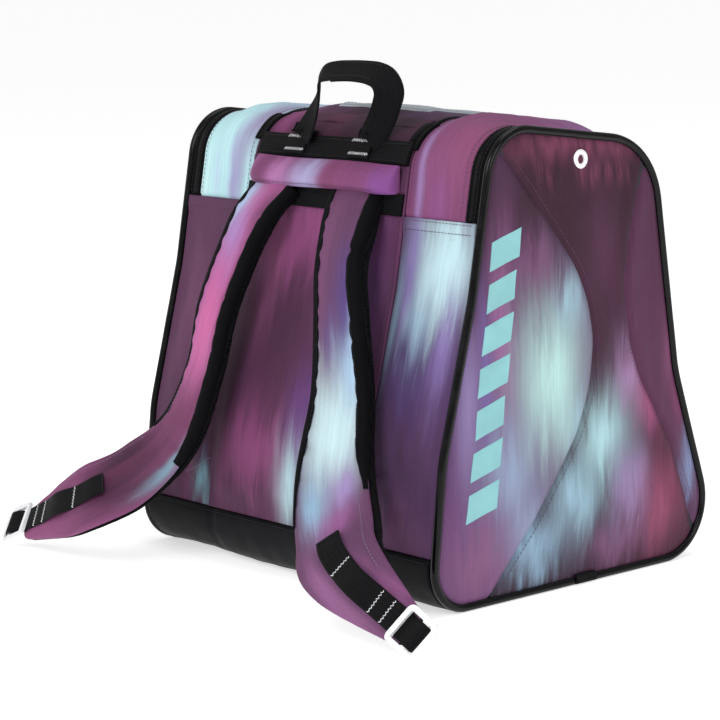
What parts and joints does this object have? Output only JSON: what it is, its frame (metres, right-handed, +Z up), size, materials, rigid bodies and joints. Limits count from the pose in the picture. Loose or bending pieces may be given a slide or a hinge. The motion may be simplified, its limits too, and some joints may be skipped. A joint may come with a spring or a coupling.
{
  "type": "skate bag",
  "caption": "Backpack-style bag for ice skates with a middle compartment under a lid, end compartments behind zipped doors, padded straps and a carry handle.",
  "frame": {"origin": "centre of the flat base, midway between the two end doors and under the middle of the nominal floor depth", "axes": "+X to the right-hand end door as seen from the strap side, +Y away from the straps towards the front, +Z up"},
  "size_m": [0.6114, 0.457, 0.466],
  "materials": {
    "print_fabric": "printed polyester weave, plum, magenta, violet and pale aqua streaks",
    "coated_fabric": "black coated tarpaulin, smooth satin",
    "webbing": "black woven webbing",
    "mesh": "black spacer mesh",
    "zip_tape": "black zip tape and coil",
    "lining": "dark lining fabric",
    "foam": "closed-cell foam pad",
    "grey_patch": "light grey smooth fabric",
    "board": "stiff plastic board",
    "piping": "black glossy piping",
    "zip_metal": "black enamelled",
    "white_metal": "white enamelled eyelet",
    "white_plastic": "white moulded plastic"
  },
  "bodies": {
    "shell": {"base_tray": "coated_fabric", "base_board": "board", "back_panel": "print_fabric", "back_foam": "foam", "front_panel": "print_fabric", "hinge_strip": "print_fabric", "handle_band": "webbing", "yoke": "print_fabric", "yoke_webbing": "webbing", "lid_zip_track": "zip_tape", "lid_slider": "zip_metal", "pod_back_left": "print_fabric", "pod_top_left": "print_fabric", "pod_front_left": "print_fabric", "divider_left": "lining", "wing_left": "print_fabric", "end_zip_left": "zip_tape", "end_slider_left": "zip_metal", "pod_back_right": "print_fabric", "pod_top_right": "print_fabric", "pod_front_right": "print_fabric", "divider_right": "lining", "wing_right": "print_fabric", "end_zip_right": "zip_tape", "end_slider_right": "zip_metal"},
    "lid": {"lid_panel": "print_fabric", "lid_patch": "grey_patch", "lid_zip_tape": "zip_tape"},
    "lid_tab": {"lid_pull": "zip_metal"},
    "handle": {"carry_handle": "webbing"},
    "left_door": {"end_rear_left": "print_fabric", "end_mid_left": "print_fabric", "end_front_left": "print_fabric", "end_liner_left": "lining", "end_piping_left": "piping", "eyelet_left": "white_metal", "end_tab_left": "webbing"},
    "left_strap": {"strap_pad_left": "print_fabric", "strap_mesh_left": "mesh", "strap_webbing_left": "webbing", "hook_loop_left": "webbing"},
    "left_hook": {"strap_hook_left": "white_plastic"},
    "left_tab": {"end_pull_left": "zip_metal"},
    "right_door": {"end_rear_right": "print_fabric", "end_mid_right": "print_fabric", "end_front_right": "print_fabric", "end_liner_right": "lining", "end_piping_right": "piping", "eyelet_right": "white_metal", "end_tab_right": "webbing"},
    "right_strap": {"strap_pad_right": "print_fabric", "strap_mesh_right": "mesh", "strap_webbing_right": "webbing", "hook_loop_right": "webbing"},
    "right_hook": {"strap_hook_right": "white_plastic"},
    "right_tab": {"end_pull_right": "zip_metal"}
  },
  "joints": [
    {"name": "lid_hinge", "type": "hinge", "parent": "shell", "child": "lid", "pos_m": [0, -0.08215, 0.41075], "axis": [1, 0, 0], "range_deg": [0, 100]},
    {"name": "lid_pull_swing", "type": "hinge", "parent": "shell", "child": "lid_tab", "pos_m": [0.062, 0.11202, 0.30381], "axis": [1, 0, 0], "range_deg": [0, 120]},
    {"name": "handle_swing", "type": "hinge", "parent": "shell", "child": "handle", "pos_m": [0, -0.1127, 0.3973], "axis": [1, 0, 0], "range_deg": [0, 105]},
    {"name": "left_door_hinge", "type": "hinge", "parent": "shell", "child": "left_door", "pos_m": [-0.19985, -0.17005, 0.13815], "axis": [0, 0.2215, 0.9752], "range_deg": [0, 100]},
    {"name": "left_strap_swing", "type": "hinge", "parent": "shell", "child": "left_strap", "pos_m": [-0.057, -0.1376, 0.3532], "axis": [-1, 0, 0], "range_deg": [0, 65]},
    {"name": "left_hook_swing", "type": "hinge", "parent": "left_strap", "child": "left_hook", "pos_m": [-0.29071, -0.27836, 0.01873], "axis": [0.3244, -0.6074, -0.7251], "range_deg": [0, 110]},
    {"name": "left_pull_swing", "type": "hinge", "parent": "shell", "child": "left_tab", "pos_m": [-0.1922, 0.15011, 0.12174], "axis": [1, 0, 0], "range_deg": [0, 120]},
    {"name": "right_door_hinge", "type": "hinge", "parent": "shell", "child": "right_door", "pos_m": [0.19985, -0.17005, 0.13815], "axis": [0, -0.2215, -0.9752], "range_deg": [0, 100]},
    {"name": "right_strap_swing", "type": "hinge", "parent": "shell", "child": "right_strap", "pos_m": [0.057, -0.1376, 0.3532], "axis": [-1, 0, 0], "range_deg": [0, 65]},
    {"name": "right_hook_swing", "type": "hinge", "parent": "right_strap", "child": "right_hook", "pos_m": [0.29071, -0.27836, 0.01873], "axis": [0.3244, 0.6074, 0.7251], "range_deg": [0, 110]},
    {"name": "right_pull_swing", "type": "hinge", "parent": "shell", "child": "right_tab", "pos_m": [0.1922, 0.15011, 0.12174], "axis": [1, 0, 0], "range_deg": [0, 120]}
  ]
}
